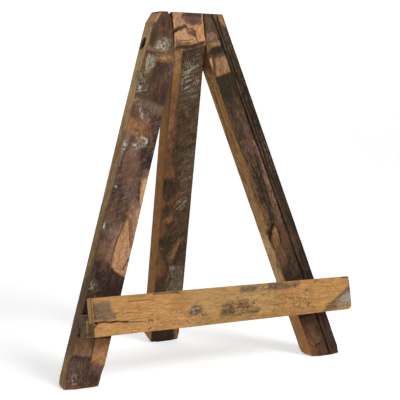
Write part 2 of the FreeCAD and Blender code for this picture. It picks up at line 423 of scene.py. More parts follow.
    def finish(self, material, body):
        """Moves the vertices by the relief, and makes the piece that stands for the CAD board."""
        self.write(self.p)
        self.faces_read()
        moved = self.p + self.normal * self.relief[:, None]
        back = (moved + self.start) @ self.turn * MM
        own = self.mesh.attributes.new("board", "FLOAT_VECTOR", "POINT")
        own.data.foreach_set("vector", (self.p * MM).astype(np.float32).ravel())
        colours = self.mesh.attributes.new("tone", "FLOAT_COLOR", "POINT")
        shown = np.hstack([np.clip(self.colour, 0, 1), np.ones((len(self.p), 1))])
        colours.data.foreach_set("color", shown.astype(np.float32).ravel())
        self.write(back)
        if np.linalg.det(self.turn) < 0:
            self.mesh.flip_normals()
        self.mesh.materials.clear()
        self.mesh.materials.append(material)
        piece = bpy.data.objects.new(self.node + "_wood", self.mesh)
        bpy.context.scene.collection.objects.link(piece)
        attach(piece, body)
        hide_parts(self.node)
        return piece


def bare_wood(b, dark, light, contrast=0.5):
    """Sawn wood with dark and light grain over the whole board."""
    b.paint(dark, np.ones(len(b.p)))
    streaks = fractal(b.grain(2.2, 70), b.seed + 61, 4, 0.6)
    clouds = fractal(b.grain(12, 45), b.seed + 63, 3)
    b.paint(light, ramp(0.6 * streaks + 0.4 * clouds, 0.5 - 0.25 * contrast, 0.5 + 0.2 * contrast))


def old_paint(b, names, face, low=0.38, high=0.62, cell=(7.0, 11.0)):
    """Layers of old paint that show through each other in clouds, darkest first."""
    for layer, name in enumerate(names):
        clouds = fractal(b.grain(*cell), b.seed + 71 + 5 * layer, 5, 0.55)
        mask = 1.0 if layer == 0 else ramp(clouds, low + 0.05 * layer, high + 0.05 * layer)
        b.paint(name, mask * b.toward[face])


def mottled(b, streaks, blots):
    """Makes the colour lighter and darker in thin streaks along the grain, and in small blots."""
    thin = fractal(b.grain(0.9, 26), b.seed + 81, 4, 0.65) - 0.5
    spots = fractal(b.grain(1.2, 1.8), b.seed + 83, 3, 0.7) - 0.5
    clouds = fractal(b.grain(3.6, 6.0), b.seed + 89, 3, 0.6) - 0.5
    shade = 1 + 2.4 * streaks * thin + blots * (2.8 * spots + 1.6 * clouds)
    b.colour *= np.maximum(0.25, shade)[:, None]


def specks(b, name, amount, face, size=1.0):
    """Small light flecks of paint left on a face."""
    fine = fractal(b.grain(size, size * 1.4), b.seed + 85, 2)
    where = fractal(b.grain(14, 20), b.seed + 87, 2)
    flecks = ramp(fine, 0.84 - 0.1 * amount, 0.94 - 0.1 * amount) * ramp(where, 0.4, 0.6)
    b.paint(name, 0.8 * flecks * b.toward[face])


def saw_strokes(b, outline, name, amount, spacing=2.6, slope=0.4):
    """Broken strokes that a saw left across the front, rising to one side."""
    inside = ramp(within(b.a, b.l, places(outline)), -2.5, 2.5) * b.toward["front"]
    marks = np.stack([b.a / 15, 0 * b.a, (b.l - slope * b.a) / (0.3 * spacing)], axis=1)
    stroke = ramp(fractal(marks, b.seed + 23, 2, 0.4), 0.66 - 0.2 * amount, 0.80 - 0.2 * amount)
    stroke *= ramp(fractal(b.grain(2.0, 2.0), b.seed + 25, 2), 0.26, 0.50)
    b.paint(name, inside * stroke)
    b.relief += 0.05 * inside * stroke


def end_grain(b, name, ring="black"):
    """Curved growth rings on the sawn ends."""
    away = np.hypot(b.a + 30, b.d - 55) + 1.5 * fractal(b.grain(5, 5), b.seed + 95, 3)
    b.paint(name, b.toward["ends"])
    b.paint(ring, 0.45 * b.toward["ends"] * ramp(np.sin(away * 2.1), 0.2, 0.9))


def worn_arrises(b, name, amount=0.6):
    """Bare wood where handling has rubbed the edges."""
    rubbed = fractal(b.grain(3, 14), b.seed + 97, 4, 0.6)
    b.paint(name, 0.8 * b.edge * ramp(rubbed, 0.66 - 0.3 * amount, 0.76 - 0.2 * amount))


def left_leg():
    """The plum-brown leg, its paint worn through to orange and tan wood."""
    b = Board("left_leg", seed=11)
    b.wear_edges(0.25, 1.0, [(-20, -6, 15, 4.0), (20, 7, 9, 2.4)])
    b.flare(low=1.3)
    corner = b.plane_off((-20.35, 0, 435), (-0.93, -0.21, 0.30), 0.5)
    b.plane_off((0.6, 0, 457.5), (0.75, -0.25, 0.62), 0.3)
    bare_wood(b, "sand", "olive", 0.6)
    old_paint(b, ["wine", "umber", "plum"], "front", 0.36, 0.60)
    old_paint(b, ["dark", "umber", "drab", "slate"], "back", 0.4, 0.62, (5.0, 24.0))
    old_paint(b, ["brown", "drab"], "high", 0.35, 0.55)

    # the outer side: olive at the top, browner and darker towards the ledge
    b.patch("ochre", "-4 -9, 26 -9, 26 290, -4 300", 18, 5, 0.7, "low")
    b.patch("umber", "-4 34, 26 38, 26 112, -4 150", 10, 4, 0.75, "low")
    b.patch("moss", "-4 60, 8 60, 8 120, 4 210, -4 230", 4, 3, 0.7, "low")
    b.patch("slate", "-4 362, 10 366, 12 378, -4 380", 4, 3, 0.5, "low")
    b.patch("rust", "-2 34, 8 34, 6 52, -2 54", 2, 2, 0.6, "low")
    b.scuffs("olive", "2 460, 22 460, 22 200, 2 200", 0.45, 1.3, "low", stretch=9)
    b.scuffs("umber", "-2 330, 24 330, 24 0, -2 0", 0.4, 1.2, "low", stretch=9)
    b.patch("moss", "-2 4, 6 6, 6 30, -2 30", 2, 2, 0.7, "low")
    b.paint("tan", 0.9 * corner)

    # the head, above the worn band
    b.patch("umber", "-23 409, -12 404, 18 407, 19 470, -13 470, -17 440", 2, 1.5)
    b.patch("moss", "-14 425, -2 425, -4 452, -13 450", 5, 2, 0.8)
    b.patch("maroon", "-6 424, 10 424, 6 445, -1 458, -6 450", 4, 2, 0.8)
    b.patch("dark", "-20 414, -11 416, -13 430, -20 432", 3, 2, 0.8)
    b.patch("tan", "-21 439, -16 444, -12 458, -13 466, -24 466", 1.2, 0.8)
    b.patch("tan", "-23 404, -19 405, -19 436, -23 440", 1.2, 0.8, 0.8)
    b.patch("drab", "4 410, 14 410, 9 430, 3 428", 3, 2, 0.8)
    b.patch("grey", "-8 412, 3 410, 7 420, 6 430, -2 428, -8 420", 4, 2, 0.6)
    b.scuffs("pale", "-10 412, -4 409, 6 412, 8 428, 2 430, -6 424", 0.75, 1, slant=-0.5)
    b.scuffs("chalk", "-7 415, -3 412, 1 414, -1 423, -5 422", 0.75, 0.9, slant=-0.5)
    b.patch("rose", "-21 413, -14 412, -6 408, -8 405, -21 406", 1.8, 1.2, 0.9)
    b.patch("drab", "-8 409, 4 411, 19 408, 18 403, -4 399", 1.6, 1.2, 0.9)
    b.patch("orange_tan", "0 406, 12 409, 17 405, 8 402, -1 402", 1.4, 1, 0.85)
    b.patch("gold", "-6 394.5, -3 400, 8 402, 18 401", 1, 0.8, 0.75)
    b.patch("ochre", "8 401, 19 403, 20 408, 14 407", 1.2, 0.8, 0.8)
    b.line("-20 403.5, -12 405, -5 407, 2 407", 0.7, 0.3, "maroon", 0.5)
    b.line("-6 400.5, 2 402, 10 404", 0.4, -0.1, "pale", 0.5)

    # dark paint with a sharp top edge, and a scraped patch beside it
    b.patch("maroon", "-1 395, 17 401, 21 399, 21 343.5, 4 347, -3 350, -4 388", 1, 0.8)
    b.patch("wine", "-1 394, 6 397, 18 384, 21 350, 15 352, 12 376, 0 380", 4, 2, 0.7)
    b.patch("umber", "-22 392, -4 394, -1 347, -22 347", 1.6, 1.5)
    b.patch("moss", "-22 376, -6 380, -4 350, -22 348", 4, 2, 0.8)
    b.patch("maroon", "2 380, 14 382, 15 358, 3 356", 5, 2, 0.8)
    b.patch("wine", "-2 394, 18 398, 20 345, 2 350", 4, 3, 0.3)
    b.patch("dark", "4 356, 15 357, 18 347, 6 348", 3, 1.5, 0.9)
    b.patch("dark", "-8 394, 4 396, 3 380, -2 368, -8 380", 4, 2, 0.7)
    b.patch("brown", "-22 404, -17 402, -16 384, -22 382", 1.6, 1, 0.8)
    b.patch("grey", "-16 402, -6 400, -4 390, -10 380, -14 378, -15.5 390", 1.4, 1.2, 0.75)
    b.scuffs("pale", "-16 402, -7 400, -4 391, -10 378, -15 377", 0.85, 0.9, soft=1.5, slant=-0.4)
    b.line("-15.6 397, -14.8 388, -12.5 379", 0.7, -0.1, "pale", 0.4)
    b.scuffs("pale", "-21 380, -10 378, -5 352, -20 350", 0.42, 0.8, slant=-0.7)
    b.patch("dark", "-23 388, 0 384, 21 390, 21 344, -23 346", 6, 3, 0.22)
    b.scuffs("chalk", "-19 361, -14 360, -14 352, -19 351", 0.6, 0.9, slant=-0.7, soft=1.5)
    b.scuffs("mauve", "11 398, 19 398, 19 376, 13 378", 0.6, 0.9, slant=-0.4)

    # a lighter brown stretch with scraped streaks
    b.patch("brown", "-22 347, 21 343, 21 332, 8 327, -6 320, -22 324", 1.8, 1.2, 0.8)
    b.patch("mauve", "-8 345, 18 342, 16 334, -8 336", 3, 1.5, 0.6)
    b.patch("umber", "-22 344, -9 345, -8 322, -22 322", 4, 2, 0.6)
    b.patch("maroon", "-9 335.5, 4 335, 8 328, -1 327", 1.6, 1.4, 0.95)
    b.patch("grey", "-8 329, 0 328, 6 323, 4 317, -3 321", 2, 1.4, 0.55)
    b.scuffs("chalk", "-15 343, -11 342, -5 328, -1 320, -4 320, -10 328", 0.7, 0.9, soft=1.2)
    b.scuffs("pale", "1 324, 6 324, 6 317, 2 317", 0.9, 0.9, soft=1.2)
    b.scuffs("pale", "-21 343, -15 343, -15 336, -21 336", 0.5, 0.9, soft=1.5)
    b.scuffs("mauve", "3 336, 13 336, 10 322, 5 322", 0.6, 0.9, slant=-0.6)
    b.patch("wine", "8 330, 21 334, 21 296, 14 299, 9 308", 2.6, 1.6, 0.95)
    b.patch("maroon", "9 328, 18 326, 17 310, 10 312", 3, 2, 0.8)
    b.patch("rust", "-22 325, -4 320, 10 320, 12 303, 0 302, -22 306", 2.6, 2, 0.75)
    b.patch("ochre", "-22 318, -2 317, 0 302, -10 298, -22 300", 2.6, 2, 0.9)
    b.scuffs("orange_tan", "-22 319, 2 318, 3 300, -22 298", 0.75, 1.3, stretch=1.2)
    b.patch("orange_tan", "-21 312, -10 312, -9 305, -21 302", 2.6, 1.6, 0.6)
    b.scuffs("rose", "-2 315, 12 315, 12 302, -2 304", 0.5, 0.9)
    b.patch("rose", "-22 304, -12 303, -11 292, -15 284, -22 290", 2.2, 1.6, 0.85)

    # scraped patches and the darkest corner
    b.patch("wine", "4 292, 12 297, 21 296, 21 262, 8 262, 2 276", 2.2, 1.6, 0.95)
    b.patch("black", "8 290, 21 292, 21 266, 10 268", 4, 1.6, 0.5)
    b.patch("plum", "-13 296, 2 288, 4 270, 0 240, -15 240, -16 262, -12 280", 3, 1.6, 0.9)
    b.patch("rose", "-11 286, 0 284, -1 274, -12 272, -15 274", 3, 1.4, 0.6)
    b.patch("grey", "-2 300, 7 299, 8 292, 2 286, -8 284, -9 288", 1.4, 1.2, 0.8)
    b.patch("slate", "1 297, 5 297, 4 292, 1 293", 1.4, 1, 0.8)
    b.line("-1 298, 3 300, 8 298, 8 293", 0.9, -0.1, "chalk", 1.2)
    b.scuffs("pale", "-2 302, 9 301, 10 291, 2 285, -6 285, -2 291", 0.6, 0.8, soft=1.4)
    b.scuffs("chalk", "-9 289, -2 290, 2 287, -2 283, -8 284", 0.7, 0.8, soft=1.2)
    b.scuffs("pale", "-22 290, -16 290, -14 284, -18 271, -22 271", 0.9, 0.8, soft=1.6)
    b.scuffs("chalk", "-20 286, -16 286, -17 276, -20 274", 0.8, 0.8, soft=1.2)
    b.patch("tan", "-7 298.5, -4 297.5, -4.4 294", 0.6, 0.4)
    b.line("-11 298, -13 291, -12.6 284, -15 276, -17 270, -17 256, -15.6 247", 0.8, 0.4, "dark", 0.5)
    b.scuffs("grey", "-21 272, -17.6 272, -18 236, -21 236", 0.85, 0.7, soft=1)
    b.patch("brown", "-7 268, 0 268, 3 246, -2 238, -7 240", 3, 1.5, 0.7)
    b.patch("dark", "4 268, 11 264, 12 244, 9 236, 7 246", 2.2, 1.4, 0.7)
    b.patch("maroon", "-22 252, -10 252, -9 236, -22 234", 3, 2, 0.8)
    b.patch("moss", "-20 242, -15 243, -15 235, -20 235", 2, 1, 0.8)
    b.patch("mauve", "0 248, 9 244, 12 230, 10 222, 0 224", 3.5, 2, 0.6)

    # bare wood along the inner edge, with the cathedral figure below it
    b.patch("rose", "12 262, 22 264, 21 256, 14 242", 2.2, 1, 0.8)
    b.patch("tan", "13.5 250, 22 257, 23 214, 17 218, 14.4 232", 2.6, 0.8)
    b.line("10 252, 11.8 241, 14 230, 17 219", 0.9, 0.3, "dark", 0.3)
    b.patch("wine", "-22 234, -6 232, -2 222, -10 214, -22 214", 3, 2, 0.8)
    b.patch("umber", "-22 216, 6 220, 4 205, 0 190, -22 192", 3, 2, 0.6)
    b.patch("maroon", "-20 212, 4 212, 2 196, -20 194", 5, 2, 0.4)
    b.patch("moss", "-7 208, -2 208, -2 200, -7 200", 2, 1.2, 0.8)
    b.patch("rose", "5 222, 16 224, 22 216, 22 194, 12 196, 5 206", 3.5, 1.5, 0.9)
    b.patch("tan", "13 214, 22 216, 22 196, 15 196", 2.5, 1.5, 0.8)
    b.line("-18 232.6, -16 232.6", 0.8, -0.1, "chalk", 0.1, taper=False)
    b.line("-8.6 225, -14.5 212, -20 197", 0.55, 0.15, "rust", 0.4)
    b.patch("mauve", "-20 191, 0 193, 0 170, -20 174", 3.5, 2, 0.9)
    b.patch("slate", "-21 188, -8 188, -9 176, -21 176", 4, 2, 0.7)
    b.patch("moss", "-17 188, -10 188, -10 182, -17 182", 2.2, 1.4, 0.7)
    b.line("-20.5 187, -19.4 182", 1, -0.1, "chalk", 0.2, taper=False)
    b.patch("maroon", "-18 176, -10 176, -10 167, -18 167", 3, 1.6, 0.6)
    b.patch("rose", "-12 184, 1 190, -1 168, -1 152, -20 152, -20 166, -9 168", 3, 1.6, 0.75)
    b.patch("brown", "-20 164, -4 164, -3 146, -20 144", 3, 2, 0.6)
    b.patch("pink_tan", "6 208, 9 206, 22 200, 22 168, 14 182, 8 198", 1.8, 1, 0.9)
    b.patch("tan", "6 200, 9 197, 13 185, 18 172, 22 162, 22 140, 19 134, 10 136, 4 138, 0 144, -0.5 156, "
            "0.5 172, 3 186", 1.1, 0.8)
    b.patch("pink_tan", "6 200, -2 184, -6 168, -6 150, 0 142, 0 156, 1 174", 3, 1.4, 0.6)
    b.scuffs("rose", "2 196, 16 178, 22 160, 21 138, 1 142, 0 160", 0.32, 0.8, stretch=1.2)
    b.line("6 203, 3.4 188, 0.6 175, -1 163, -0.6 150, 0.2 142", 0.6, 0.35, "maroon", 0.3)
    b.line("8.5 204, 11.5 190, 15.5 176, 19.6 165", 0.65, 0.35, "rust", 0.35)
    b.line("10.5 205, 14 192, 19 178", 0.5, 0.2, "rust", 0.4)
    b.line("20 157, 17.4 149, 15.2 140", 0.8, 0.4, "rust", 0.4)
    b.line("19 155, 18.8 152", 0.9, 0.5, "dark", 0.2, taper=False)
    b.line("15.3 144, 15 141", 0.9, 0.4, "dark", 0.2, taper=False)

    # the dark stretch that the ledge crosses
    b.patch("wine", "-23 134, -12 136, -2 141, 4 137, 17 132.5, 23 133, 23 55, -23 55", 1.4, 1.2)
    b.patch("black", "-18 132, 18 130, 20 100, -20 100", 6, 3, 0.45)
    b.patch("maroon", "-13 144, -1 143, -2 136, -14 136", 2.6, 1.4, 0.8)
    b.patch("plum", "2 134, 18 128, 16 108, -4 106, -4 130", 6, 2, 0.15)
    b.scuffs("slate", "-21 136, -2 134, 0 106, -21 100", 0.4, 0.8, slant=-0.6)
    b.scuffs("grey", "-21 124, -9 124, -7 104, -21 102", 0.42, 0.8, slant=-0.6)
    b.patch("grey", "-19 118, -14 118, -14 110, -19 110", 2.6, 1.4, 0.6)
    b.scuffs("chalk", "-19 117, -14.5 117, -14 110, -19 110", 0.5, 0.8, soft=2)

    # below the ledge
    b.patch("rose", "-23 60, 2.5 60, 2 37, -10 34, -23 32", 1.8, 1.2, 0.95)
    b.patch("orange_tan", "-22 50, -6 48, -6 38, -22 36", 4, 2, 0.5)
    b.patch("pink_tan", "-10 50, 1 50, 1 40, -8 38", 4, 2, 0.45)
    b.patch("dark", "-4 60, 3 60, 2 46, -3 47", 2, 1.2, 0.5)
    b.patch("orange_tan", "2.5 60, 23 60, 23 32, 12 29, 3 31", 1.4, 1)
    b.patch("tan", "4 52, 20 54, 20 36, 5 34", 4, 2, 0.5)
    b.patch("wine", "-23 33.5, -9 35, 2 36, 3 -9, -23 -9", 1.4, 1.2)
    b.patch("plum", "-20 30, 0 32, 0 4, -20 2", 5, 3, 0.6)
    b.patch("dark", "-14 28, 0 28, 0 6, -14 8", 5, 2, 0.5)
    b.patch("plum", "3 33, 12 31, 23 26, 23 2, 3 -4", 2.5, 1.5)
    b.patch("dark", "5 24, 20 18, 20 5, 4 2", 3.5, 2, 0.9)
    b.scuffs("grey", "-21 30, -6 31, 0 8, -19 2", 0.38, 0.75)
    b.scuffs("chalk", "-15 13, -10 13, -8 4, -12 0", 0.45, 0.7, soft=2)
    b.line("1.6 60, 2.3 34, 1.9 4", 0.5, 0.2, "dark", 0.3)
    b.patch("rust", "-23 1, 4 2.5, 22 6, 22 -9, -23 -9", 1, 0.6, 0.85)
    # painted shadow: a dark band on the leg just under the ledge
    b.patch("black", "-23 57.5, 2 60, 23 66, 23 63, 2 56.5, -23 54", 1.4, 0.5, 0.75)

    saw_strokes(b, "-20 345, 20 345, 20 260, -20 150", "mauve", 0.16, 2.2, 0.7)
    specks(b, "pale", 0.6, "front")
    worn_arrises(b, "ochre", 0.5)
    end_grain(b, "brown")
    mottled(b, 0.14, 0.36)
    b.unevenness(0.12, 0.04)
    b.chip((20.35, 2, 15), (2.6, 9, 15), 1.8)
    return b.finish(wood_material("worn_painted_wood", 0.5, 0.85), "front_frame")


def right_leg():
    """The near-black leg, with long parallel grooves and brown ridges between them."""
    b = Board("right_leg", seed=23)
    b.wear_edges(0.25, 1.0, [(-20, 6, 13, 3.6), (20, -6, 13, 3.4)])
    b.flare(low=1.1)
    bare_wood(b, "amber", "sand", 0.9)
    b.patch("sand", "-2 210, 24 210, 24 60, -2 60", 14, 3, 0.7, "low")
    b.patch("amber", "-2 460, 24 460, 24 250, -2 250", 14, 3, 0.5, "low")
    b.patch("olive", "6 175, 22 175, 22 95, 4 100", 6, 3, 0.6, "low")
    b.patch("gold", "-2 62, 24 62, 24 -9, -2 -9", 4, 3, 0.6, "low")
    b.patch("cream", "5 168, 24 168, 24 104, 4 108", 5, 3, 0.8, "low")
    # painted shade: the inner side darker at the top, where it meets the rear leg
    b.patch("dark", "-2 470, 24 470, 24 402, 12 392, -2 376", 4, 4, 0.75, "low")
    b.scuffs("sand", "8 372, 22 372, 22 220, 10 220", 0.55, 1.6, "low", stretch=8)
    b.scuffs("umber", "-2 372, 22 372, 22 60, -2 60", 0.3, 1.3, "low", stretch=9)
    b.patch("umber", "-3 250, 4 244, 3 206, -3 200", 2, 2, 0.7, "low")
    b.patch("umber", "-3 176, 7 172, 4 152, -3 146", 2, 2, 0.8, "low")
    b.patch("umber", "-3 130, 3 126, 3 90, -3 84", 2, 1.5, 0.6, "low")
    old_paint(b, ["dark", "soot", "umber"], "front", 0.40, 0.62, (5.0, 14.0))
    old_paint(b, ["dark", "soot", "umber", "drab"], "back", 0.4, 0.62, (5.0, 24.0))
    old_paint(b, ["soot", "dark", "umber", "brown"], "high", 0.42, 0.62, (4.0, 40.0))

    # the head
    b.patch("umber", "-8 458, 4 458, 4 434, -14 432", 1.8, 1.5, 0.9)
    b.patch("slate", "-6 452, 2 452, 2 436, -9 436", 2.4, 1.5, 0.7)
    b.patch("moss", "-2 444, 4 444, 4 426, -1 430", 2, 1.5, 0.7)
    b.patch("orange_tan", "12 458, 18.5 452, 19.5 434, 14 438", 1.4, 1.2, 0.95)
    b.patch("ochre", "3 460, 12 456, 10 447, 5 445", 1.4, 1, 0.85)
    b.patch("rose", "-16 424, -11 433, -3 433, 2 428, 1 423, -12 422", 1.5, 1.2, 0.95)
    b.patch("ochre", "-20 422, -8 423, 2 424, 3 415, -8 414, -21 409", 1.5, 1.2, 0.85)
    b.patch("pink_tan", "-10 419, 2 420, 2 415, -9 414", 1.6, 1, 0.8)
    b.line("-17 421, -8 421.6, 1 424", 0.6, 0.3, "umber", 0.5)
    b.patch("soot", "-17 410, -8 413, 4 413, 4 402, -12 401", 1.6, 1.2, 0.95)
    b.patch("slate", "-9 404, 4 405, 4 397, -10 398", 1.8, 1, 0.8)
    b.patch("orange_tan", "-23 401, -12 400, 4 399, 4.4 378, -23 378", 1, 0.7)
    b.patch("pink_tan", "-9 397, 3 397, 3 386, -11 386", 3, 1.5, 0.7)
    b.scuffs("brown", "-9 389, 3 389, 2 379, -8 379", 0.55, 1, soft=2)
    b.line("-12.5 404, -15 393, -19 380", 1.7, 1.2, "umber", 0.3, taper=False)
    b.line("-16.4 403, -19 392", 1, 0, "tan", 0.3)
    b.patch("soot", "-23 377.6, 5 377.2, 6 330, -23 330", 0.8, 0.5, 0.85)

    # the wide left part of the face
    b.patch("moss", "-22 344, 2 346, 3 306, -20 302", 4, 2.5, 0.6)
    b.patch("dark", "-20 345, -8 346, -10 326, -20 330", 4, 2.5, 0.7)
    b.patch("plum", "-9 304, 2 308, 3 285, -1 270, -9 278", 3, 1.6, 0.7)
    b.patch("plum", "-11 290, 0 290, 0 272, -8 268", 3, 1.6, 0.7)
    b.patch("soot", "-20 300, -12 306, -10 286, -20 280", 3, 2, 0.8)
    b.patch("orange_tan", "0.5 288, 4 288, 3.6 283, 1 281", 1, 0.6, 0.8)
    b.scuffs("grey", "-18 283, -12 283, -12 272, -18 272", 0.6, 0.9, soft=1.8)
    b.patch("moss", "-16 274, -6 274, -6 262, -16 260", 3, 1.6, 0.9)
    b.patch("brown", "-22 262, -10 262, -10 240, -14 228, -22 226", 3, 2, 0.6)
    b.patch("soot", "-14 262, -2 258, -3 240, -4 196, -14 186, -16 226", 2.4, 1.8, 0.8)
    b.patch("plum", "-1 278, 4 278, 5 246, -1 240", 1.6, 0.8, 0.9)
    b.patch("rose", "-1 246, 4.4 248, 4.4 196, 3 178, -4 178, -4 200, -2.4 214", 1.6, 1, 0.9)
    b.scuffs("soot", "-5 262, 5 262, 6 176, -6 176", 0.55, 1.2, stretch=3)
    b.patch("orange_tan", "1 238, 4 240, 4 230, 1 230", 1.4, 0.8, 0.5)
    b.line("3.4 286, 3.8 262, 3 240, 1.2 220, 0.6 200", 1.7, -0.35, "rose", 0.8)
    b.scuffs("soot", "-19 376, 4 376, 4 110, -19 110", 0.35, 1.3, stretch=3)
    b.scuffs("brown", "-19 345, 4 345, 4 110, -19 110", 0.28, 1.1, stretch=3)
    b.patch("ochre", "-23 270, -18.4 270, -18.6 120, -23 120", 1, 0.8, 0.6)
    b.patch("ochre", "-19 206, -14 208, -15 186, -19 184", 2, 1.4, 0.6)
    b.scuffs("soot", "-17 230, -8 230, -8 180, -16 184", 0.6, 1.2, stretch=2.5)
    b.scuffs("rose", "-18 204, -12 206, -13 190, -18 188", 0.6, 0.9, soft=1.5)
    b.line("-21 167, -16.5 173, -14 178, -10 182", 1.5, 1.6, "black", 0.8)
    b.patch("ochre", "-19 168, -9 178, -7.6 166, -10 152, -20 150", 1.6, 1.2, 0.95)
    b.patch("orange_tan", "-12 175, -9 176, -9 162, -12 160", 1.4, 0.8, 0.6)
    b.patch("brown", "-20 152, -7.6 152, -9 130, -18 126", 1.8, 1.2, 0.9)
    b.patch("rust", "-10 150, -7 150, -9 128, -12 130", 1.4, 0.8, 0.7)
    b.patch("umber", "-18 128, -9 130, -9 120, -18 119", 2.4, 1.4, 0.7)
    b.patch("umber", "-6 184, 4 182, 5 148, -5 146", 2.4, 1.6, 0.7)
    b.patch("rust", "-6 184, 2 182, 3 148, -5 146", 3, 1.6, 0.3)
    b.patch("moss", "-6 150, 4 150, 4 112, -8 112", 3, 2, 0.6)
    b.line("-6.4 172, -7 164, -8.4 153", 1, 0.8, "black", 0.5)

    # below the ledge
    b.patch("maroon", "-23 60, 4 58, 4 -9, -23 -9", 3, 2, 0.3)
    b.patch("rust", "-23 60, 4 58, 4 -9, -23 -9", 3, 2, 0.25)
    b.patch("brown", "-12 46, 2 46, 4 22, -12 18", 3.5, 2, 0.5)
    b.patch("soot", "-4 42, 4 40, 4 28, -2 28", 3, 1.6, 0.7)
    b.patch("rust", "-23 34, -15 30, -12 14, -13 -9, -23 -9", 2.5, 1.6, 0.75)
    b.line("-12 15, -8 19, -2 17", 0.9, 0.4, "black", 0.8)
    b.line("-9 19.6, -5 20.4", 0.6, -0.1, "ochre", 0.4)
    b.line("-7 12, -7 4, -9 -6", 0.6, 0.4, "soot", 0.6)
    # painted shadow: a dark band on the leg just under the ledge
    b.patch("black", "-23 62, 23 51, 23 47.5, -23 58.5", 1.4, 0.5, 0.8)

    # brown ridges, and the grooves the whole length of the face
    b.patch("soot", "13 432, 23 430, 23 -9, 12.5 -9, 13.6 200", 1.6, 1.6, 0.75)
    ridge_at, ridge_width = 8.2, 0.8
    ridge = np.exp(-(((b.a - ridge_at) / ridge_width) ** 2))
    ridge *= ramp(fractal(b.grain(3, 16), 309, 3), 0.3, 0.55)
    b.paint("brown", 0.75 * ridge * b.toward["front"])
    b.patch("black", "9 380, 22 380, 22 292, 9 292", 3, 2, 0.55)
    b.patch("maroon", "9 58, 19 58, 18 26, 9 22", 3, 2, 0.7)
    b.scuffs("umber", "10 434, 22 434, 22 -9, 10 -9", 0.3, 1.2, stretch=2.5)
    b.scuffs("slate", "12 430, 20 430, 20 380, 12 380", 0.5, 0.9)
    b.scuffs("grey", "9 296, 20 296, 20 240, 9 240", 0.3, 0.9)
    b.line("6 -9, 5.8 60, 6.6 200, 5.4 330, 6 470", 1.2, 1.8, "black", 0.7, taper=False)
    b.line("9.8 205, 10.6 260, 9.8 340, 10.4 462", 0.8, 1.3, "black", 0.5)
    b.line("14.5 120, 14.8 220, 15.6 320, 13.6 432", 0.5, 0.7, "black", 1)
    b.line("12.2 20, 12.6 90, 11.8 150", 0.6, 0.8, "black", 0.7)
    b.line("-1 284, -2 262, -3 240, -5 214, -5 190", 0.7, 0.7, "soot", 0.8)
    b.line("-12 262, -9 236, -12 204", 0.6, 0.7, "black", 0.9)
    b.line("-15 345, -14 320, -17 296", 0.4, 0.4, "black", 0.8)
    b.line("17.6 30, 18 110, 17.2 190", 0.45, 0.6, "black", 0.6)
    b.line("19.4 440, 19.6 330, 19.2 200, 19.6 60", 0.8, 0.7, "black", 0.8)

    specks(b, "grey", 0.4, "front", 0.9)
    worn_arrises(b, "brown", 0.3)
    end_grain(b, "brown")
    mottled(b, 0.16, 0.40)
    b.unevenness(0.14, 0.12, 0.9)
    bite = b.chip((-20.35, 3, 171), (5, 5, 8), 2.6)
    b.paint("soot", bite * 0.8)
    return b.finish(wood_material("dark_cracked_wood", 0.6, 0.8), "front_frame")


